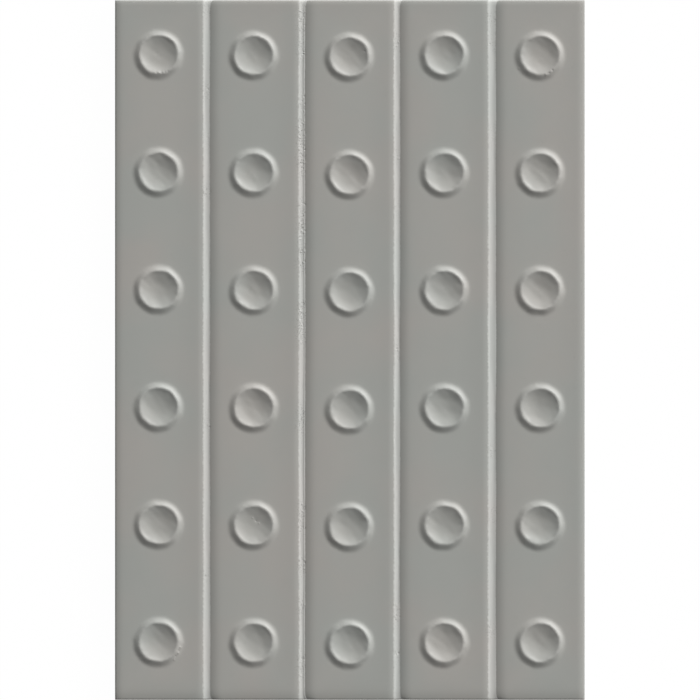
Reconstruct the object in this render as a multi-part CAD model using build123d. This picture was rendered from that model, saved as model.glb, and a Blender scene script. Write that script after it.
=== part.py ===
from build123d import *
import os

# A pressed and fired porcelain stoneware tile, all in one piece, lying face up.
# X runs across the strips, Y along them, and Z from the back to the face, in millimetres.
# Left and right mean towards -X and +X, bottom and top towards -Y and +Y, as seen on the face.

# Outline and thickness
TILE_WIDTH = 200.0
TILE_LENGTH = 298.0
FACE_HEIGHT = 8.5          # back plane to the flat of the strips

# Strips, with false joints pressed between them as shallow coves
STRIP_COUNT = 5
JOINT_WIDTH = 2.9
JOINT_SAG = 0.3            # bottom of the cove, under the line between its two borders

# Cushioned edges: each strip rolls off from its flat, wider on its left than on its right
LEFT_ROLL = 4.5            # width of the roll-off
LEFT_DROP = 0.75           # how far the border lies below the flat
RIGHT_ROLL = 2.4
RIGHT_DROP = 0.4
BOTTOM_ROLL = 5.0
BOTTOM_DROP = 0.52
TOP_ROLL = 2.0
TOP_DROP = 0.33
SHOULDER_RADIUS = 0.6      # where the face turns down into the tile's sides

# Studs with dished tops, one row on each strip
STUD_ROWS = 6
STUD_PITCH = 50.0
STUD_HEIGHT = 1.2          # rim above the flat
DISH_RADIUS = 7.8          # mouth of the dish
DISH_DEPTH = 1.7           # rim to the lowest point of the dish
RIM_WIDTH = 0.6            # level rim around the dish
WALL_WIDTH = 1.9           # sloped wall outside the rim, in plan
FOOT_WIDTH = 1.3           # gentler foot around the wall, in plan
FOOT_RISE = 0.2            # how far the foot climbs from the flat
STUD_SHIFTS = (0.4, 0.1, -0.6, 0.1, 0.1)   # each row's slip along its strip

# Back, with shallow recesses that key into the bedding
BACK_CHAMFER = 0.8
BACK_BORDER = 8.0          # plain border around the recesses
RIB_WIDTH = 3.0            # between two recesses
RECESS_COLUMNS = 5
RECESS_ROWS = 8
RECESS_DEPTH = 0.8
RECESS_DRAFT = 30.0        # slope of the recess walls, in degrees

# Sizes that follow
STRIP_WIDTH = (TILE_WIDTH - (STRIP_COUNT - 1) * JOINT_WIDTH) / STRIP_COUNT
STRIP_PITCH = STRIP_WIDTH + JOINT_WIDTH
RIM_RADIUS = DISH_RADIUS + RIM_WIDTH
WALL_FOOT_RADIUS = RIM_RADIUS + WALL_WIDTH
STUD_RADIUS = WALL_FOOT_RADIUS + FOOT_WIDTH


def cushioned_top(left, right, left_roll, left_drop, right_roll, right_drop):
    """Edges of a top that is flat in the middle and rolls off to both borders."""
    flat_left = (left + left_roll, FACE_HEIGHT)
    flat_right = (right - right_roll, FACE_HEIGHT)
    return [
        TangentArc(flat_left, (left, FACE_HEIGHT - left_drop), tangent=(-1, 0)),
        Line(flat_left, flat_right),
        TangentArc(flat_right, (right, FACE_HEIGHT - right_drop), tangent=(1, 0)),
    ]


def sides_and_back(span, left_drop, right_drop):
    """Edges from the right shoulder down around the chamfered back to the left shoulder."""
    half = span / 2
    return Polyline(
        (half, FACE_HEIGHT - right_drop),
        (half, BACK_CHAMFER),
        (half - BACK_CHAMFER, 0),
        (BACK_CHAMFER - half, 0),
        (-half, BACK_CHAMFER),
        (-half, FACE_HEIGHT - left_drop),
    ).edges()


def false_joint(left):
    """The cove between the right border of one strip and the left border of the next."""
    start = Vector(left, FACE_HEIGHT - RIGHT_DROP)
    end = Vector(left + JOINT_WIDTH, FACE_HEIGHT - LEFT_DROP)
    bottom = (start + end) / 2 - Vector(0, JOINT_SAG)
    return ThreePointArc(start, bottom, end)


def with_round_shoulders(edges):
    """A section face with its left and right shoulders rounded."""
    section = make_face(edges)
    by_side = section.vertices().group_by(Axis.X)
    shoulders = [corners.sort_by(Axis.Y)[-1] for corners in (by_side[0], by_side[-1])]
    return fillet(shoulders, SHOULDER_RADIUS)


def section_across_strips():
    """Section square to the strips, with a false joint between each two."""
    edges = list(sides_and_back(TILE_WIDTH, LEFT_DROP, RIGHT_DROP))
    for index in range(STRIP_COUNT):
        left = index * STRIP_PITCH - TILE_WIDTH / 2
        right = left + STRIP_WIDTH
        edges += cushioned_top(left, right, LEFT_ROLL, LEFT_DROP, RIGHT_ROLL, RIGHT_DROP)
        if index < STRIP_COUNT - 1:
            edges.append(false_joint(right))
    return with_round_shoulders(edges)


def section_along_strips():
    """Section along a strip, rolled off at the two short ends."""
    half = TILE_LENGTH / 2
    edges = list(sides_and_back(TILE_LENGTH, BOTTOM_DROP, TOP_DROP))
    edges += cushioned_top(-half, half, BOTTOM_ROLL, BOTTOM_DROP, TOP_ROLL, TOP_DROP)
    return with_round_shoulders(edges)


def cushioned_slab():
    """The tile without studs: its two sections, each run through the other."""
    along_tile = extrude(Plane.XZ * section_across_strips(), TILE_LENGTH / 2, both=True)
    across_tile = extrude(Plane.YZ * section_along_strips(), TILE_WIDTH / 2, both=True)
    return along_tile & across_tile


def turned_boss():
    """A stud before it is dished: a level top, a sloped wall and a gentle foot on the flat."""
    profile = Polyline(
        (0, 0),
        (STUD_RADIUS, 0),
        (WALL_FOOT_RADIUS, FOOT_RISE),
        (RIM_RADIUS, STUD_HEIGHT),
        (0, STUD_HEIGHT),
        close=True,
    )
    return revolve(Plane.XZ * make_face(profile), Axis.Z)


def dishing_ball():
    """The ball that presses a dish into a stud, with its poles to the sides, clear of the dish."""
    ball_radius = (DISH_RADIUS**2 + DISH_DEPTH**2) / (2 * DISH_DEPTH)
    ball = Plane.XZ * Sphere(ball_radius)
    return Pos(0, 0, STUD_HEIGHT - DISH_DEPTH + ball_radius) * ball


def stud_places():
    """Where the studs' axes meet the flats of the strips."""
    places = []
    for strip in range(STRIP_COUNT):
        across = (strip - (STRIP_COUNT - 1) / 2) * STRIP_PITCH
        for row in range(STUD_ROWS):
            along = (row - (STUD_ROWS - 1) / 2) * STUD_PITCH + STUD_SHIFTS[strip]
            places.append(Pos(across, along, FACE_HEIGHT))
    return places


def with_studs(slab):
    """The slab with a boss on each stud's place, and a dish pressed into every boss."""
    boss = turned_boss()
    ball = dishing_ball()
    places = stud_places()
    studded = slab + [place * boss for place in places]
    return studded - [place * ball for place in places]


def with_keyed_back(slab):
    """The slab with a grid of drafted recesses pressed into its back."""
    field_width = TILE_WIDTH - 2 * BACK_BORDER
    field_length = TILE_LENGTH - 2 * BACK_BORDER
    pitch_across = (field_width + RIB_WIDTH) / RECESS_COLUMNS
    pitch_along = (field_length + RIB_WIDTH) / RECESS_ROWS
    mouth = Rectangle(pitch_across - RIB_WIDTH, pitch_along - RIB_WIDTH)
    recess = extrude(mouth, RECESS_DEPTH, taper=RECESS_DRAFT)
    grid = GridLocations(pitch_across, pitch_along, RECESS_COLUMNS, RECESS_ROWS)
    return slab - [place * recess for place in grid]


tile = with_keyed_back(with_studs(cushioned_slab()))

os.makedirs("parts", exist_ok=True)
export_step(tile, "parts/tile.step")
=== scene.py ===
from math import cos, pi, radians, sin, tan

import bmesh
import bpy
import numpy as np
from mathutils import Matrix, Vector, noise
from mathutils.geometry import delaunay_2d_cdt


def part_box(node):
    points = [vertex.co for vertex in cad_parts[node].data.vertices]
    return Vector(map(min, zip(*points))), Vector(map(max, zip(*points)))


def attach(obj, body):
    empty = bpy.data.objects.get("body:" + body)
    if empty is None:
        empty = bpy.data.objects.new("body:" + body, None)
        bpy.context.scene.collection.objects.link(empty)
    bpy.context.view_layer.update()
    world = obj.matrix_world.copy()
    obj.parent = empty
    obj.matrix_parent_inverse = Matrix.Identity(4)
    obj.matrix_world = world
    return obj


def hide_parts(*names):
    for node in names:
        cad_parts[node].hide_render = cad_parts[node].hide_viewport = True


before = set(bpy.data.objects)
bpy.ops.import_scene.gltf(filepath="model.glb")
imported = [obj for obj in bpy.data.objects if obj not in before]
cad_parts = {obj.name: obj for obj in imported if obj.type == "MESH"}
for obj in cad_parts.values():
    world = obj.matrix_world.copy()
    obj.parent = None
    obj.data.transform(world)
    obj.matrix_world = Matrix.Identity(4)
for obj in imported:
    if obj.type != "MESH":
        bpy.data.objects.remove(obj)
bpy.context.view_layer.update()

# Real sizes in millimetres. The outline and total height come from the solid tile.
# Left and right mean towards -X and +X, bottom and top towards -Y and +Y, as seen on the face.
MM = 0.001
LOWEST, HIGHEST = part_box("tile")
SIZE_DECIMALS = 4          # clears the small errors of the stored sizes
TILE_WIDTH = round((HIGHEST.x - LOWEST.x) / MM, SIZE_DECIMALS)
TILE_LENGTH = round((HIGHEST.y - LOWEST.y) / MM, SIZE_DECIMALS)
HALF_WIDTH = TILE_WIDTH / 2
HALF_LENGTH = TILE_LENGTH / 2
STUD_HEIGHT = 1.2
FACE_HEIGHT = HIGHEST.z / MM - STUD_HEIGHT

# Strips, and the false joints pressed between them as shallow coves
STRIP_COUNT = 5
JOINT_COUNT = STRIP_COUNT - 1
JOINT_WIDTH = 2.9
JOINT_SAG = 0.30           # bottom of the cove, under the line between its two borders
PATTERN_SLIP = -0.34       # strips, joints and studs sit a little left of the middle
STRIP_PITCH = (TILE_WIDTH + JOINT_WIDTH) / STRIP_COUNT
STRIP_CENTRES = (np.arange(STRIP_COUNT) - (STRIP_COUNT - 1) / 2) * STRIP_PITCH + PATTERN_SLIP
JOINT_SLIPS = np.array((0.26, 0.26, 0.13, 0.02))  # of each joint to the right
JOINT_WIDENINGS = np.array((-0.05, -0.29, -0.34, 0.42))
JOINT_CENTRES = STRIP_CENTRES[:-1] + STRIP_PITCH / 2 + JOINT_SLIPS
JOINT_WIDTHS = JOINT_WIDTH + JOINT_WIDENINGS
RIDGE_HEIGHTS = np.array((0.0, 0.14, 0.0, 0.03))   # of a thin ridge along each joint's right border
RIDGE_INSET, RIDGE_RADIUS = 0.42, 0.26

# Cushioned edges: width of each roll-off, and how far it falls
LEFT_ROLL, LEFT_DROP = 4.5, 0.75
RIGHT_ROLL, RIGHT_DROP = 2.4, 0.4
FIRST_ROLL, FIRST_DROP = 3.3, 0.47         # at the tile's left side
LAST_ROLL, LAST_DROP = 2.95, 0.62          # and at its right side
BOTTOM_ROLL, BOTTOM_DROP = 4.8, 0.47
TOP_ROLL, TOP_DROP = 2.0, 0.33
SHOULDER_RADIUS = 0.6

# Studs with dished tops
STUD_ROWS = 6
STUD_PITCH = 50.0
STUD_SHIFTS = np.array((0.60, 0.30, -0.40, 0.30, 0.30))    # each row's slip along its strip
STUD_SLIPS = np.array((-0.03, -0.11, -0.01, -0.17, 0.0))    # and to the right of its middle
STUD_RADIUS = 11.6         # where the foot ends
CREST_RADIUS = 8.12        # of the circle along which the rim's crest runs
RIM_SLIP = (0.15, 0.17)    # of that circle from the foot's middle, to the right and up
DISH_ROUNDING = 0.9        # radius of the crest's section on the dish's side
WALL_ROUNDING = 1.2        # and on the wall's side
WALL_ANGLE = radians(30)   # slope of the wall outside the crest
FOOT_RADIUS = 3.2
DISH_ANGLE = radians(26)   # slope of the dish where it meets the crest
DISH_DEPTH = 1.7

# Back with keying recesses
BACK_CHAMFER = 0.8
BACK_BORDER = 8.0
RIB_WIDTH = 3.0
RECESS_COLUMNS, RECESS_ROWS = 5, 8
RECESS_DEPTH = 0.8
RECESS_DRAFT = radians(30)

# Unevenness left by pressing and firing: heights in millimetres, waves per millimetre
FACE_WAVE, FACE_WAVE_RATE = 0.03, 0.05
RIM_WAVE, RIM_WAVE_RATE, RIM_WAVE_REACH = 0.09, 0.6, 1.6
RIM_LOWERING = 0.3         # share of the rim's waves by which it lies lower
STUD_WOBBLE, STUD_WOBBLE_RATE = 0.24, 0.26   # how far a stud's circles stray from round
DISH_WAVE, DISH_WAVE_RATE, STREAK_RATE = 0.14, 0.4, 0.12     # streaks run down to the right
JOINT_WANDER, JOINT_WANDER_RATE = 0.2, 0.03
JOINT_NIBBLE, JOINT_NIBBLE_RATE = 0.08, 0.4
JOINT_LOW_LINE, LOW_LINE_SWAY, LOW_LINE_RATE = 0.52, 0.3, 0.05   # shares of a joint's width
JOINT_FLARE, FLARE_REACH = 1.2, 1.0        # widening of each joint's right border at the ends
SIDE_WAVE, SIDE_WAVE_RATE = 0.06, 0.4
LAYER_START, LAYER_GAP, LAYER_COUNT = 0.5, 2.0, 8
NOISE_LAYERS = LAYER_START + LAYER_GAP * np.arange(LAYER_COUNT)
FACE_LAYER, SIDE_LAYER, WANDER_LAYER, NIBBLE_LAYER, LOW_LAYER = NOISE_LAYERS[:5]
RIM_LAYER, DISH_LAYER, WOBBLE_LAYER = NOISE_LAYERS[5:]
LANE_GAP = 3.7             # keeps the noise of neighbouring joint borders apart

# Pits and crumbs in the joints, in rough stretches: joint, middle and half length along the
# strips, and the number of marks
MARK_SEED = 11
ROUGH_STRETCHES = (
    (0, 145, 2, 3), (0, 110, 2, 3), (0, 89, 2, 2), (0, 67, 1, 3), (0, -30, 3, 3), (0, -95, 2, 2),
    (1, 135, 12, 32), (1, 105, 4, 6), (1, 87, 11, 50), (1, 55, 8, 28), (1, 39, 4, 16), (1, 12, 9, 34),
    (1, -30, 5, 16), (1, -71, 6, 18), (1, -92, 3, 7), (1, -109, 3, 7), (1, -135, 4, 12),
    (2, 132, 3, 6), (2, 83, 2, 2), (2, 60, 3, 3), (2, 0, 3, 4), (2, -112, 4, 7), (2, -130, 2, 3),
    (3, 141, 1, 2), (3, 131, 3, 4), (3, 92, 3, 3), (3, -43, 2, 3), (3, -70, 2, 3),
    (3, -119, 2, 3),
)
MARK_REACH = 0.55          # share of a joint's width, either side of its middle
MARK_RADII = (0.16, 0.38)
MARK_STEEPNESS = (-0.6, 0.5)   # height of a mark as a share of its radius
ROUGH_FADE, ROUGH_FADE_POWER = 2.0, 4      # how far a stretch's roughness reaches past its ends
ROUGH_MARGIN = 1.0         # and past the joint's borders
FULL_DENSITY = 2.2         # marks per millimetre at which a stretch is fully rough

# Paler colour round the studs, strongest round the rim, and darker edges of the strips
RIM_BAND_RADIUS, RIM_BAND_REACH = 7.6, 2.6
EDGE_REACH = 13.0
LEFT_CRISPNESS = 0.4       # of the change of colour at a joint's left border, against its right one

# Chips, crumbs and scratches on studs: strip, row from the bottom, bearing in degrees, distance
# from the stud's axis, radius and height
STUD_CHIPS = (
    (0, 5, 264, 7.6, 0.35, -0.14), (0, 5, 272, 7.5, 0.3, 0.08), (0, 5, 281, 7.7, 0.45, -0.16),
    (0, 5, 291, 7.8, 0.45, -0.16), (0, 5, 300, 8.0, 0.45, -0.14),
    (2, 5, 21, 7.1, 0.35, -0.12),
    (4, 5, 288, 8.5, 0.45, 0.16), (4, 5, 298, 8.4, 0.4, -0.18), (4, 5, 311, 8.2, 0.4, -0.25),
    (4, 5, 212, 10.4, 0.5, 0.1),
    (0, 0, 347, 9.6, 0.4, 0.22), (0, 0, 338, 9.3, 0.35, -0.18), (0, 0, 331, 9.7, 0.35, 0.22),
    (0, 0, 321, 9.4, 0.35, -0.18), (0, 0, 312, 10.1, 0.35, 0.15),
    (1, 1, 97, 3.2, 0.3, 0.13), (1, 1, 60, 2.2, 0.3, -0.13), (1, 1, 21, 2.5, 0.25, 0.12),
)

# Spacing of the mesh, in millimetres
EDGE_OFFSETS = np.array((0, 0.1, 0.25, 0.45, 0.7, 1.1, 1.7, 2.5, 3.5, 4.7))
EDGE_SPACING = 1.0
BORDER_OFFSETS = (-0.75, -0.38, -0.12, 0.12, 0.3, 0.48, 0.75)   # from a joint's border, inwards
FLOOR_SHARES = (0.38, 0.5, 0.62)                           # of the way across a joint
OUTER_OFFSETS = (1.2, 1.8, 2.5, 3.4, 4.4, 5.6)             # from a joint's border, outwards
JOINT_END_OFFSETS = np.linspace(-2.4, 2.4, 17)             # from a joint's centre, at the tile's ends
JOINT_SPACING = 0.9
OUTER_SPACING = 1.8
RING_RADII = (1.2, 2.4, 3.6, 4.7, 5.7, 6.4, 6.9, 7.3, 7.6, 7.85, 8.1, 8.35, 8.65,
              9.0, 9.4, 9.8, 10.2, 10.6, 11.1, 11.8)
RING_SPACING = 0.85
LEAST_RING_POINTS = 12
MARK_RINGS = ((0.5, 6), (1.0, 8), (1.7, 10))               # share of a mark's radius, and points
FIELD_SPACING = 2.5
SIDE_LEVELS = 5
WELD_DISTANCE = 0.002
WHOLE_HULL = 0             # the triangulation's choice to cover all of the points
SAME_PLACE = 0.01
CREASE_ANGLE = radians(45)

# Values kept on the mesh for the material: depth into a joint in millimetres, and shares from 0 to 1
FINISH_LAYERS = ("joint", "rough", "rim_band", "edge", "bare")
BARE_FINISH = (-1.0, 0.0, 0.0, 0.0, 1.0)


def noise_at(u, v, layer):
    """Smooth noise from about -1 to 1 at each point of a layer."""
    return np.array([noise.noise(Vector((a, b, layer))) for a, b in zip(u, v)])


def rolled_off(distance, roll, drop):
    """Fall of a cushioned edge at a distance from its border, full past the border."""
    radius = (roll**2 + drop**2) / (2 * drop)
    reach = np.clip(roll - distance, 0, roll)
    return radius - np.sqrt(radius**2 - reach**2)


def shoulder_fall(distance):
    """Extra fall where the face turns down into the tile's sides."""
    reach = SHOULDER_RADIUS - np.clip(distance, 0, SHOULDER_RADIUS)
    return SHOULDER_RADIUS - np.sqrt(SHOULDER_RADIUS**2 - reach**2)


def stud_relief(radius):
    """Height of a stud's dish, crest, wall and foot above the flat."""
    wall_top_r = CREST_RADIUS + WALL_ROUNDING * sin(WALL_ANGLE)
    wall_top_z = STUD_HEIGHT - WALL_ROUNDING * (1 - cos(WALL_ANGLE))
    foot_top_z = FOOT_RADIUS * (1 - cos(WALL_ANGLE))
    foot_top_r = wall_top_r + (wall_top_z - foot_top_z) / tan(WALL_ANGLE)
    foot_end_r = foot_top_r + FOOT_RADIUS * sin(WALL_ANGLE)
    dish_rim_r = CREST_RADIUS - DISH_ROUNDING * sin(DISH_ANGLE)
    dish_rise = DISH_DEPTH - DISH_ROUNDING * (1 - cos(DISH_ANGLE))
    dish_power = tan(DISH_ANGLE) * dish_rim_r / dish_rise

    dish = STUD_HEIGHT - DISH_DEPTH + dish_rise * (radius / dish_rim_r)**dish_power
    from_crest = radius - CREST_RADIUS
    rounding = np.where(from_crest < 0, DISH_ROUNDING, WALL_ROUNDING)
    crest = STUD_HEIGHT - rounding + np.sqrt(np.maximum(rounding**2 - from_crest**2, 0))
    wall = wall_top_z - (radius - wall_top_r) * tan(WALL_ANGLE)
    foot = FOOT_RADIUS - np.sqrt(np.maximum(FOOT_RADIUS**2 - (foot_end_r - radius)**2, 0))
    return np.select(
        [radius < dish_rim_r, radius < wall_top_r, radius < foot_top_r, radius < foot_end_r],
        [dish, crest, wall, foot], 0.0)


def stud_place(strip, row):
    """X and Y of a stud's axis."""
    along = (row - (STUD_ROWS - 1) / 2) * STUD_PITCH + STUD_SHIFTS[strip]
    return STRIP_CENTRES[strip] + STUD_SLIPS[strip], along


def nearest_stud(x, y):
    """Distance of each point from the middle of the nearest stud, which shifts from rim to foot."""
    strip = np.rint((x - PATTERN_SLIP) / STRIP_PITCH + (STRIP_COUNT - 1) / 2)
    strip = np.clip(strip, 0, STRIP_COUNT - 1).astype(int)
    row = np.rint((y - STUD_SHIFTS[strip]) / STUD_PITCH + (STUD_ROWS - 1) / 2)
    row = np.clip(row, 0, STUD_ROWS - 1)
    stud_x, stud_y = stud_place(strip, row)
    from_foot = np.hypot(x - stud_x, y - stud_y)
    from_rim = np.hypot(x - stud_x - RIM_SLIP[0], y - stud_y - RIM_SLIP[1])
    share = np.clip((from_foot - CREST_RADIUS) / (STUD_RADIUS - CREST_RADIUS), 0, 1)
    return from_rim * (1 - share) + from_foot * share


def nearest_joint(x):
    """Number of the joint that is nearest to each point."""
    return np.abs(x[:, None] - JOINT_CENTRES).argmin(axis=1)


def joint_borders(joint, y):
    """X of the uneven left and right border of each point's joint, at the point's Y."""
    borders = []
    for side in (-1, 1):
        lane = LANE_GAP * (2 * joint + side)
        wander = JOINT_WANDER * noise_at(lane, y * JOINT_WANDER_RATE, WANDER_LAYER)
        nibble = JOINT_NIBBLE * noise_at(lane, y * JOINT_NIBBLE_RATE, NIBBLE_LAYER)
        borders.append(JOINT_CENTRES[joint] + side * JOINT_WIDTHS[joint] / 2 + wander + nibble)
    borders[1] += JOINT_FLARE * np.exp((np.abs(y) - HALF_LENGTH) / FLARE_REACH)
    return borders


def cove(share, joint, y):
    """Shape of a joint's cove, from 0 at its borders to 1 at its uneven lowest line."""
    sway = noise_at(LANE_GAP * joint, y * LOW_LINE_RATE, LOW_LAYER)
    low_line = JOINT_LOW_LINE + LOW_LINE_SWAY * sway
    from_low_line = np.where(share < low_line, 1 - share / low_line, (share - low_line) / (1 - low_line))
    return 1 - from_low_line**2


def joint_marks():
    """X, Y, radius and height of the pits and crumbs in the joints."""
    random = np.random.default_rng(MARK_SEED)
    marks = []
    for joint, middle, half_length, count in ROUGH_STRETCHES:
        x = JOINT_CENTRES[joint] + JOINT_WIDTHS[joint] * random.uniform(-MARK_REACH, MARK_REACH, count)
        y = middle + random.uniform(-half_length, half_length, count)
        radius = random.uniform(*MARK_RADII, count)
        height = radius * random.uniform(*MARK_STEEPNESS, count)
        marks.append(np.column_stack((x, y, radius, height)))
    return np.concatenate(marks)


def stud_chips():
    """X, Y, radius and height of the chips, crumbs and scratches on studs."""
    chips = []
    for strip, row, bearing, distance, radius, height in STUD_CHIPS:
        x, y = stud_place(strip, row)
        angle = radians(bearing)
        chips.append((x + distance * cos(angle), y + distance * sin(angle), radius, height))
    return np.array(chips)


def mark_relief(x, y, marks):
    """Height that pits, crumbs and chips add to the face."""
    relief = np.zeros(len(x))
    for mark_x, mark_y, radius, height in marks:
        distance = np.hypot(x - mark_x, y - mark_y)
        relief += height * np.exp(-(distance / radius)**2)
    return relief


def strip_fall(x, y):
    """How far the strips' roll-offs, the joints and the waves lie below the flat."""
    joint = nearest_joint(x)
    left_border, right_border = joint_borders(joint, y)
    share = np.clip((x - left_border) / (right_border - left_border), 0, 1)
    before_joint = rolled_off(left_border - x, RIGHT_ROLL, RIGHT_DROP)
    after_joint = rolled_off(x - right_border, LEFT_ROLL, LEFT_DROP)
    fall = before_joint * (1 - share) + after_joint * share
    fall += JOINT_SAG * cove(share, joint, y)
    from_ridge = (right_border - RIDGE_INSET - x) / RIDGE_RADIUS
    fall -= RIDGE_HEIGHTS[joint] * np.exp(-from_ridge**2)
    fall += FACE_WAVE * (1 - noise_at(x * FACE_WAVE_RATE, y * FACE_WAVE_RATE, FACE_LAYER))
    return fall


def border_fall(x, y):
    """How far the face falls towards the tile's own sides and ends."""
    fall = rolled_off(x + HALF_WIDTH, FIRST_ROLL, FIRST_DROP)
    fall += rolled_off(HALF_WIDTH - x, LAST_ROLL, LAST_DROP)
    fall += rolled_off(y + HALF_LENGTH, BOTTOM_ROLL, BOTTOM_DROP)
    fall += rolled_off(HALF_LENGTH - y, TOP_ROLL, TOP_DROP)
    to_side = HALF_WIDTH - np.abs(x)
    to_end = HALF_LENGTH - np.abs(y)
    fall += np.maximum(shoulder_fall(to_side), shoulder_fall(to_end))
    return fall


def stud_rise(x, y):
    """Height of the studs above the flat, with their uneven rims and dishes."""
    wobble = noise_at(x * STUD_WOBBLE_RATE, y * STUD_WOBBLE_RATE, WOBBLE_LAYER)
    radius = np.maximum(nearest_stud(x, y) + STUD_WOBBLE * wobble, 0)
    rise = stud_relief(radius)
    rim = np.exp(-((radius - CREST_RADIUS) / RIM_WAVE_REACH)**2)
    rise -= RIM_WAVE * rim * (RIM_LOWERING - noise_at(x * RIM_WAVE_RATE, y * RIM_WAVE_RATE, RIM_LAYER))
    in_dish = np.clip(1 - (radius / CREST_RADIUS)**2, 0, 1)
    streaks = noise_at((x + y) * DISH_WAVE_RATE, (x - y) * STREAK_RATE, DISH_LAYER)
    rise -= DISH_WAVE * in_dish * streaks
    return rise


def face_height(x, y, marks):
    """Height of the face at each point, nowhere above the studs' full height."""
    height = FACE_HEIGHT - strip_fall(x, y) - border_fall(x, y)
    height += stud_rise(x, y) + mark_relief(x, y, marks)
    return np.minimum(height, FACE_HEIGHT + STUD_HEIGHT)


def joint_roughness(x, y, into_joint):
    """How rough the joints are at each point, from 0 to 1."""
    joint = nearest_joint(x)
    rough = np.zeros(len(x))
    for number, middle, half_length, count in ROUGH_STRETCHES:
        strength = min(1, count / (2 * half_length * FULL_DENSITY))
        fade = np.exp(-((y - middle) / (half_length + ROUGH_FADE))**ROUGH_FADE_POWER)
        rough = np.maximum(rough, strength * fade * (joint == number))
    return rough * np.clip(1 + into_joint / ROUGH_MARGIN, 0, 1)


def face_finish(x, y):
    """The values of the finish layers at each point of the face."""
    left_border, right_border = joint_borders(nearest_joint(x), y)
    into_joint = np.minimum((x - left_border) * LEFT_CRISPNESS, right_border - x)
    rough = joint_roughness(x, y, into_joint)
    rim_band = np.exp(-((nearest_stud(x, y) - RIM_BAND_RADIUS) / RIM_BAND_REACH)**2)
    to_joint = np.maximum(left_border - x, x - right_border)
    to_border = np.minimum(HALF_WIDTH - np.abs(x), HALF_LENGTH - np.abs(y))
    edge = np.clip(1 - np.minimum(to_joint, to_border) / EDGE_REACH, 0, 1)
    return np.column_stack((into_joint, rough, rim_band, edge, np.zeros(len(x))))


def stations(start, end, spacing):
    """Evenly spaced places from start to end."""
    return np.linspace(start, end, max(2, round((end - start) / spacing) + 1))


def between_ends(spacing):
    """Evenly spaced Y between the lines that follow the tile's two ends."""
    reach = HALF_LENGTH - EDGE_OFFSETS[-1]
    return stations(-reach, reach, spacing)[1:-1]


def lattice(across, along):
    """Every crossing of two sets of lines, as rows of x and y."""
    return np.stack(np.meshgrid(across, along), axis=-1).reshape(-1, 2)


def ring(radius, count, turn=0.0):
    """Points around a circle."""
    angle = 2 * pi * (np.arange(count) + turn) / count
    return radius * np.stack((np.cos(angle), np.sin(angle)), axis=1)


def lines_across():
    """X of the mesh lines that reach the tile's ends: close at joints and sides, wider between."""
    inner = HALF_WIDTH - EDGE_OFFSETS
    lines = [inner, -inner]
    for centre in JOINT_CENTRES:
        lines.append(centre + JOINT_END_OFFSETS)
    reach = STRIP_PITCH / 2 - JOINT_END_OFFSETS[-1] - EDGE_SPACING
    for centre in STRIP_CENTRES:
        lines.append(centre + stations(-reach, reach, EDGE_SPACING))
    return np.unique(np.round(np.concatenate(lines), SIZE_DECIMALS))


def border_loop(across, along):
    """Points of the tile's outline, counter-clockwise from its lowest corner."""
    side = np.concatenate((EDGE_OFFSETS[1:] - HALF_LENGTH, along, HALF_LENGTH - EDGE_OFFSETS[:0:-1]))
    lower = [(x, -HALF_LENGTH) for x in across[:-1]]
    right = [(HALF_WIDTH, y) for y in (-HALF_LENGTH, *side)]
    upper = [(x, HALF_LENGTH) for x in across[:0:-1]]
    left = [(-HALF_WIDTH, y) for y in (HALF_LENGTH, *side[::-1])]
    return np.array(lower + right + upper + left)


def stud_points():
    """Rings of points round every stud, close where the shape turns, every other one half a step on."""
    rings = [np.zeros((1, 2))]
    for number, radius in enumerate(RING_RADII):
        count = max(LEAST_RING_POINTS, round(2 * pi * radius / RING_SPACING))
        rings.append(ring(radius, count, number % 2 / 2))
    stud = np.concatenate(rings)
    places = [stud_place(strip, row) for strip in range(STRIP_COUNT) for row in range(STUD_ROWS)]
    return np.concatenate([stud + place for place in places])


def mark_points(marks):
    """Points on and around every pit, crumb and chip."""
    points = [marks[:, :2]]
    for x, y, radius, _ in marks:
        points += [ring(share * radius, count) + (x, y) for share, count in MARK_RINGS]
    return np.concatenate(points)


def joint_points():
    """Lines of points that follow both borders of every joint, closest at the borders."""
    points = []
    for number in range(JOINT_COUNT):
        close, wide = between_ends(JOINT_SPACING), between_ends(OUTER_SPACING)
        left, right = joint_borders(np.full(len(close), number), close)
        for offset in BORDER_OFFSETS:
            points += [(left + offset, close), (right - offset, close)]
        for share in FLOOR_SHARES:
            points.append((left + (right - left) * share, close))
        left, right = joint_borders(np.full(len(wide), number), wide)
        for offset in OUTER_OFFSETS:
            points += [(left - offset, wide), (right + offset, wide)]
    return np.concatenate([np.column_stack(line) for line in points])


def edge_points(across, along):
    """Lines of points that follow the four borders of the face."""
    side_lines = HALF_WIDTH - EDGE_OFFSETS
    end_lines = HALF_LENGTH - EDGE_OFFSETS
    sides = lattice(np.concatenate((side_lines, -side_lines)), along)
    ends = lattice(across, np.concatenate((end_lines, -end_lines)))
    return np.concatenate((sides, ends))


def field_points():
    """A coarse grid on the flats, clear of studs, joints and edges."""
    grid = lattice(stations(-HALF_WIDTH, HALF_WIDTH, FIELD_SPACING),
                   stations(-HALF_LENGTH, HALF_LENGTH, FIELD_SPACING))
    x, y = grid.T
    gap = FIELD_SPACING / 2
    to_joint = np.abs(x[:, None] - JOINT_CENTRES).min(axis=1)
    clear = nearest_stud(x, y) > RING_RADII[-1] + gap
    clear &= to_joint > JOINT_WIDTH / 2 + OUTER_OFFSETS[-1] + gap
    clear &= np.abs(x) < HALF_WIDTH - EDGE_OFFSETS[-1] - gap
    clear &= np.abs(y) < HALF_LENGTH - EDGE_OFFSETS[-1] - gap
    return grid[clear]


def triangulated(points, edges=()):
    """Delaunay triangles over points in plan."""
    plan = [Vector((float(x), float(y))) for x, y in points]
    placed, _, faces, *_ = delaunay_2d_cdt(plan, list(edges), [], WHOLE_HULL, WELD_DISTANCE)
    return np.array([(p.x, p.y) for p in placed]), faces


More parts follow.
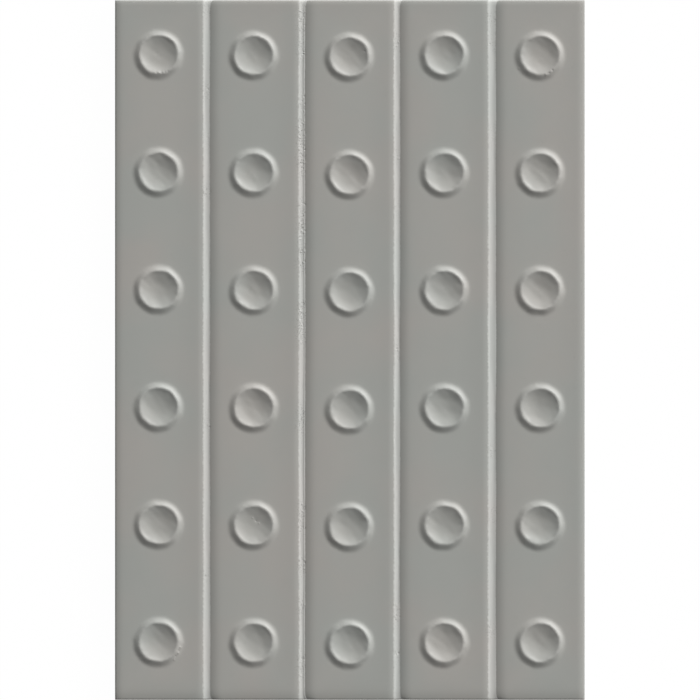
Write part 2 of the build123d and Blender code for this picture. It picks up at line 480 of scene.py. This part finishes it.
def face_patch(across, along, marks):
    """Vertices, triangles and finish of the face."""
    points = np.concatenate((edge_points(across, along), joint_points(), stud_points(),
                             mark_points(marks), field_points()))
    plan, faces = triangulated(points)
    x, y = plan.T
    return np.column_stack((plan, face_height(x, y, marks))), faces, face_finish(x, y)


def side_patch(loop, marks):
    """Vertices and faces of the four sides, from the face's border down to the back."""
    top = face_height(loop[:, 0], loop[:, 1], marks)
    outward = np.abs(loop) >= (HALF_WIDTH, HALF_LENGTH)
    inset = 1 - BACK_CHAMFER / np.array((HALF_WIDTH, HALF_LENGTH))
    along = loop.sum(axis=1)
    rings = []
    for level in range(SIDE_LEVELS + 1):
        share = level / SIDE_LEVELS
        z = top * (1 - share) + BACK_CHAMFER * share
        ripple = 1 - noise_at(along * SIDE_WAVE_RATE, z * SIDE_WAVE_RATE, SIDE_LAYER)
        wave = SIDE_WAVE * ripple * (level > 0)
        pulled = loop - np.sign(loop) * outward * wave[:, None]
        rings.append(np.column_stack((pulled, z)))
    rings.append(np.column_stack((loop * inset, np.zeros(len(loop)))))
    count = len(loop)
    faces = []
    for upper in range(0, count * (len(rings) - 1), count):
        lower = upper + count
        for here in range(count):
            following = (here + 1) % count
            faces.append((upper + here, lower + here, lower + following, upper + following))
    return np.concatenate(rings), faces, loop * inset


def back_patch(border):
    """Vertices and triangles of the back, with drafted recesses pressed into it."""
    field = np.array((TILE_WIDTH, TILE_LENGTH)) - 2 * BACK_BORDER
    cells = np.array((RECESS_COLUMNS, RECESS_ROWS))
    pitch = (field + RIB_WIDTH) / cells
    mouth = (pitch - RIB_WIDTH) / 2
    floor = mouth - RECESS_DEPTH * tan(RECESS_DRAFT)
    corners = np.array(((-1, -1), (1, -1), (1, 1), (-1, 1)))
    outline = [(corner, (corner + 1) % len(corners)) for corner in range(len(corners))]
    points, edges = [border], []
    count = len(border)
    for cell in np.ndindex(*cells):
        centre = (np.array(cell) - (cells - 1) / 2) * pitch
        for half in (mouth, floor):
            points.append(centre + corners * half)
            edges += [(count + start, count + end) for start, end in outline]
            count += len(corners)
    plan, faces = triangulated(np.concatenate(points), edges)
    from_cell = np.abs((plan / pitch + cells / 2) % 1 - 0.5) * pitch
    sunk = (from_cell < floor + SAME_PLACE).all(axis=1)
    sunk &= (np.abs(plan) < field / 2).all(axis=1)
    return np.column_stack((plan, sunk * RECESS_DEPTH)), [tuple(reversed(face)) for face in faces]


def joined_mesh(name, patches):
    """One closed mesh from patches that share their borders."""
    vertices, faces, finish = [], [], []
    count = 0
    for points, patch_faces, patch_finish in patches:
        vertices.append(points * MM)
        faces += [tuple(count + corner for corner in face) for face in patch_faces]
        finish.append(np.broadcast_to(patch_finish, (len(points), len(FINISH_LAYERS))))
        count += len(points)
    mesh = bpy.data.meshes.new(name)
    mesh.from_pydata(np.concatenate(vertices).tolist(), [], faces)
    for label, values in zip(FINISH_LAYERS, np.concatenate(finish).T):
        layer = mesh.attributes.new(label, "FLOAT", "POINT")
        layer.data.foreach_set("value", values.astype(np.float32))
    welded = bmesh.new()
    welded.from_mesh(mesh)
    bmesh.ops.remove_doubles(welded, verts=welded.verts, dist=WELD_DISTANCE * MM)
    welded.to_mesh(mesh)
    welded.free()
    mesh.shade_smooth()
    mesh.set_sharp_from_angle(angle=CREASE_ANGLE)
    return mesh


def build_tile():
    """The whole tile as one piece: face, sides and keyed back."""
    across, along = lines_across(), between_ends(EDGE_SPACING)
    marks = np.concatenate((joint_marks(), stud_chips()))
    sides, side_faces, back_border = side_patch(border_loop(across, along), marks)
    back, back_faces = back_patch(back_border)
    mesh = joined_mesh("stoneware_tile", (
        face_patch(across, along, marks),
        (sides, side_faces, BARE_FINISH),
        (back, back_faces, BARE_FINISH),
    ))
    tile = bpy.data.objects.new("stoneware_tile", mesh)
    bpy.context.scene.collection.objects.link(tile)
    return tile


# Colours, linear
FIRED_WARM = (0.2915, 0.2810, 0.2615, 1)
FIRED_COOL = (0.2735, 0.2785, 0.2610, 1)
EDGE_WARM = (0.274, 0.264, 0.246, 1)
EDGE_COOL = (0.257, 0.262, 0.2455, 1)
# paler colours in a band round each stud's rim
RIM_BAND_WARM = (0.315, 0.306, 0.2865, 1)
RIM_BAND_COOL = (0.297, 0.3035, 0.286, 1)
JOINT_WARM = (0.421, 0.411, 0.392, 1)
JOINT_COOL = (0.403, 0.412, 0.393, 1)
# painted shade of tiny pits: dark specks in the joints' rough stretches
PIT_SHADE_GREY = (0.17, 0.166, 0.155, 1)
BODY_LIGHT = (0.37, 0.36, 0.335, 1)
BODY_DARK = (0.30, 0.293, 0.272, 1)
WHITE = (1, 1, 1, 1)
FLOOR_PAINT = (0.95, 0.95, 0.95, 1)

# Patterns of the stoneware: waves per metre, detail, and the part of the noise that is used
CLOUD_SCALE, CLOUD_DETAIL, CLOUD_RANGE = 28, 2, (0.35, 0.65)
BODY_SCALE, BODY_DETAIL, BODY_RANGE = 500, 4, (0.3, 0.7)
SATIN_SCALE, SATIN_DETAIL, SATIN_RANGE = 120, 3, (0.3, 0.7)
RAGGED_SCALE, RAGGED_DETAIL, RAGGED_RANGE = 900, 2, (0.25, 0.75)
# pattern of the painted pit shade
PIT_SHADE_SCALE, PIT_SHADE_DETAIL, PIT_SHADE_RANGE = 1600, 2, (0.56, 0.66)
FINE_SCALE, FINE_DETAIL = 1600, 2
COARSE_SCALE, COARSE_DETAIL = 1100, 4

# Joint borders, in millimetres: how far the colour strays, and how wide its change is
RAGGED_REACH = (-0.12, 0.12)
BORDER_FADE = (-0.15, 0.15)

# Finish: roughness of each surface, and the depth of the fine grain in millimetres
FACE_ROUGHNESS = (0.70, 0.76)
RIM_BAND_ROUGHNESS = 0.4
JOINT_ROUGHNESS = 0.62
BODY_ROUGHNESS = 0.78
GRAIN_DEPTH = 0.05
FACE_GRAIN, JOINT_GRAIN, ROUGH_GRAIN, BODY_GRAIN = 0.06, 0.15, 1.0, 0.5
REFRACTION = 1.5

# Sockets of the mix node, which shares names between its kinds
NUMBER_A, NUMBER_B, NUMBER_RESULT = 2, 3, 0
COLOUR_A, COLOUR_B, COLOUR_RESULT = 6, 7, 2


class Shader:
    """A material's node tree with short ways to add nodes and link them."""

    def __init__(self, material):
        material.use_nodes = True
        self.tree = material.node_tree
        self.bsdf = self.tree.nodes["Principled BSDF"]
        self.place = self.add("ShaderNodeTexCoord").outputs["Object"]

    def add(self, kind, **settings):
        """A new node with its settings."""
        node = self.tree.nodes.new(kind)
        for name, value in settings.items():
            setattr(node, name, value)
        return node

    def feed(self, socket, value):
        """Link an output into a socket, or set the socket's own value."""
        if isinstance(value, bpy.types.NodeSocket):
            self.tree.links.new(value, socket)
        else:
            socket.default_value = value

    def noise(self, scale, detail):
        """Noise from 0 to 1 over the object's own coordinates."""
        node = self.add("ShaderNodeTexNoise")
        for name, value in (("Vector", self.place), ("Scale", scale), ("Detail", detail)):
            self.feed(node.inputs[name], value)
        return node.outputs["Fac"]

    def math(self, operation, first, second):
        """Two numbers joined by a sum, a product or a like operation."""
        node = self.add("ShaderNodeMath", operation=operation)
        self.feed(node.inputs[0], first)
        self.feed(node.inputs[1], second)
        return node.outputs[0]

    def spread(self, value, used, result=(0.0, 1.0)):
        """The used range of a value, stretched to another range and kept within it."""
        node = self.add("ShaderNodeMapRange")
        for name, number in (("Value", value), ("From Min", used[0]), ("From Max", used[1]),
                             ("To Min", result[0]), ("To Max", result[1])):
            self.feed(node.inputs[name], number)
        return node.outputs["Result"]

    def mix(self, share, first, second):
        """A colour between two others."""
        node = self.add("ShaderNodeMix", data_type="RGBA")
        self.feed(node.inputs["Factor"], share)
        self.feed(node.inputs[COLOUR_A], first)
        self.feed(node.inputs[COLOUR_B], second)
        return node.outputs[COLOUR_RESULT]

    def blend(self, share, first, second):
        """A number between two others."""
        node = self.add("ShaderNodeMix", data_type="FLOAT")
        self.feed(node.inputs["Factor"], share)
        self.feed(node.inputs[NUMBER_A], first)
        self.feed(node.inputs[NUMBER_B], second)
        return node.outputs[NUMBER_RESULT]

    def attribute(self, name):
        """A value stored on the mesh."""
        return self.add("ShaderNodeAttribute", attribute_name=name).outputs["Fac"]


def stoneware():
    """Matt grey fired stoneware with smoother rims, lighter joints, and bare sides and back."""
    material = bpy.data.materials.new("fired_stoneware")
    shader = Shader(material)
    depth, rough, rim_band, edge, bare = [shader.attribute(label) for label in FINISH_LAYERS]
    ragged = shader.spread(shader.noise(RAGGED_SCALE, RAGGED_DETAIL), RAGGED_RANGE, RAGGED_REACH)
    in_joint = shader.spread(shader.math("ADD", depth, ragged), BORDER_FADE)

    clouds = shader.spread(shader.noise(CLOUD_SCALE, CLOUD_DETAIL), CLOUD_RANGE)
    fired = shader.mix(clouds, FIRED_WARM, FIRED_COOL)
    strip = shader.mix(edge, fired, shader.mix(clouds, EDGE_WARM, EDGE_COOL))
    # paler colour in a band round each stud's rim, strongest near the crest
    face = shader.mix(rim_band, strip, shader.mix(clouds, RIM_BAND_WARM, RIM_BAND_COOL))
    joint = shader.mix(clouds, JOINT_WARM, JOINT_COOL)
    # painted shade of tiny pits, as dark specks where the joints are rough
    pit_shade = shader.spread(shader.noise(PIT_SHADE_SCALE, PIT_SHADE_DETAIL), PIT_SHADE_RANGE)
    with_pit_shade = shader.mix(shader.math("MULTIPLY", pit_shade, rough), shader.mix(in_joint, face, joint), PIT_SHADE_GREY)
    specks = shader.spread(shader.noise(BODY_SCALE, BODY_DETAIL), BODY_RANGE)
    colour = shader.mix(bare, with_pit_shade, shader.mix(specks, BODY_DARK, BODY_LIGHT))
    shader.feed(shader.bsdf.inputs["Base Color"], colour)

    satin = shader.spread(shader.noise(SATIN_SCALE, SATIN_DETAIL), SATIN_RANGE, FACE_ROUGHNESS)
    polished = shader.blend(rim_band, satin, RIM_BAND_ROUGHNESS)
    roughness = shader.blend(bare, shader.blend(in_joint, polished, JOINT_ROUGHNESS), BODY_ROUGHNESS)
    shader.feed(shader.bsdf.inputs["Roughness"], roughness)
    shader.bsdf.inputs["IOR"].default_value = REFRACTION

    unglazed = shader.math("MAXIMUM", shader.math("MAXIMUM", in_joint, rough), bare)
    grain = shader.blend(unglazed, shader.noise(FINE_SCALE, FINE_DETAIL),
                         shader.noise(COARSE_SCALE, COARSE_DETAIL))
    smooth = shader.blend(in_joint, FACE_GRAIN, JOINT_GRAIN)
    strength = shader.blend(bare, shader.blend(rough, smooth, ROUGH_GRAIN), BODY_GRAIN)
    bump = shader.add("ShaderNodeBump")
    bump.inputs["Distance"].default_value = GRAIN_DEPTH * MM
    shader.feed(bump.inputs["Strength"], strength)
    shader.feed(bump.inputs["Height"], grain)
    shader.feed(shader.bsdf.inputs["Normal"], bump.outputs["Normal"])
    return material


# Stage: a white floor and surround, one soft key light and a dim fill
FLOOR_SIZE = 40.0
FLOOR_SHADOW = 0.015       # share of the floor's look that its shading keeps
KEY_AZIMUTH = radians(49)
KEY_ELEVATION = radians(27)
KEY_DISTANCE = 15.0
KEY_WIDTH, KEY_HEIGHT = 20.0, 4.0
KEY_POWER = 4840.0
FILL_STRENGTH = 0.235


def seen_rays(tree):
    """A value of 1 on rays from the camera, a mirror or glass, and 0 on lighting rays."""
    path = tree.nodes.new("ShaderNodeLightPath")
    total = path.outputs["Is Camera Ray"]
    for name in ("Is Glossy Ray", "Is Transmission Ray"):
        joined = tree.nodes.new("ShaderNodeMath")
        joined.operation = "MAXIMUM"
        tree.links.new(total, joined.inputs[0])
        tree.links.new(path.outputs[name], joined.inputs[1])
        total = joined.outputs[0]
    return total


def white_floor():
    """Paint that looks white and keeps a faint shadow."""
    material = bpy.data.materials.new("white_floor")
    material.use_nodes = True
    tree = material.node_tree
    tree.nodes.clear()
    output = tree.nodes.new("ShaderNodeOutputMaterial")
    paint = tree.nodes.new("ShaderNodeBsdfDiffuse")
    paint.inputs["Color"].default_value = FLOOR_PAINT
    glow = tree.nodes.new("ShaderNodeEmission")
    glow.inputs["Color"].default_value = WHITE
    share = tree.nodes.new("ShaderNodeMath")
    share.operation = "MULTIPLY"
    share.inputs[1].default_value = 1 - FLOOR_SHADOW
    tree.links.new(seen_rays(tree), share.inputs[0])
    mixed = tree.nodes.new("ShaderNodeMixShader")
    tree.links.new(share.outputs[0], mixed.inputs[0])
    tree.links.new(paint.outputs[0], mixed.inputs[1])
    tree.links.new(glow.outputs[0], mixed.inputs[2])
    tree.links.new(mixed.outputs[0], output.inputs["Surface"])
    return material


def build_floor():
    """A wide level floor under the tile."""
    mesh = bpy.data.meshes.new("floor")
    reach = FLOOR_SIZE / 2
    corners = [(-reach, -reach, 0), (reach, -reach, 0), (reach, reach, 0), (-reach, reach, 0)]
    mesh.from_pydata(corners, [], [(0, 1, 2, 3)])
    mesh.materials.append(white_floor())
    floor = bpy.data.objects.new("floor", mesh)
    bpy.context.scene.collection.objects.link(floor)
    return floor


def light_scene():
    """A wide soft key light from the upper right and an even fill from the surround."""
    lamp = bpy.data.lights.new("key", "AREA")
    lamp.shape = "RECTANGLE"
    lamp.size = KEY_WIDTH
    lamp.size_y = KEY_HEIGHT
    lamp.energy = KEY_POWER
    key = bpy.data.objects.new("key", lamp)
    level = cos(KEY_ELEVATION)
    towards = Vector((cos(KEY_AZIMUTH) * level, sin(KEY_AZIMUTH) * level, sin(KEY_ELEVATION)))
    key.location = towards * KEY_DISTANCE
    key.rotation_euler = towards.to_track_quat("Z", "Y").to_euler()
    bpy.context.scene.collection.objects.link(key)

    world = bpy.data.worlds.new("surround")
    bpy.context.scene.world = world
    world.use_nodes = True
    tree = world.node_tree
    background = tree.nodes["Background"]
    background.inputs["Color"].default_value = WHITE
    strength = tree.nodes.new("ShaderNodeMapRange")
    strength.inputs["To Min"].default_value = FILL_STRENGTH
    tree.links.new(seen_rays(tree), strength.inputs["Value"])
    tree.links.new(strength.outputs["Result"], background.inputs["Strength"])


# Camera: straight above, with a long lens, framed as the photograph is
LENS = 400.0
SENSOR = 36.0
FARTHEST = 100.0
FRAME_PIXELS = 700.0
PIXELS_PER_MM = 2.348
TILE_CENTRE_PIXELS = (349.86, 350.0)


def place_camera():
    """A long lens straight above the tile, with the strips upright in the picture."""
    data = bpy.data.cameras.new("camera")
    data.lens = LENS
    data.sensor_width = SENSOR
    data.clip_end = FARTHEST
    frame_width = FRAME_PIXELS / PIXELS_PER_MM * MM
    shift_x = (FRAME_PIXELS / 2 - TILE_CENTRE_PIXELS[0]) / PIXELS_PER_MM * MM
    shift_y = (TILE_CENTRE_PIXELS[1] - FRAME_PIXELS / 2) / PIXELS_PER_MM * MM
    border_height = (FACE_HEIGHT - LEFT_DROP - SHOULDER_RADIUS) * MM
    camera = bpy.data.objects.new("camera", data)
    camera.location = (shift_x, shift_y, border_height + frame_width * LENS / SENSOR)
    bpy.context.scene.collection.objects.link(camera)
    bpy.context.scene.camera = camera


tile = build_tile()
tile.data.materials.append(stoneware())
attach(tile, "root")
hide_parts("tile")
build_floor()
light_scene()
place_camera()
bpy.context.scene.view_settings.view_transform = "Standard"
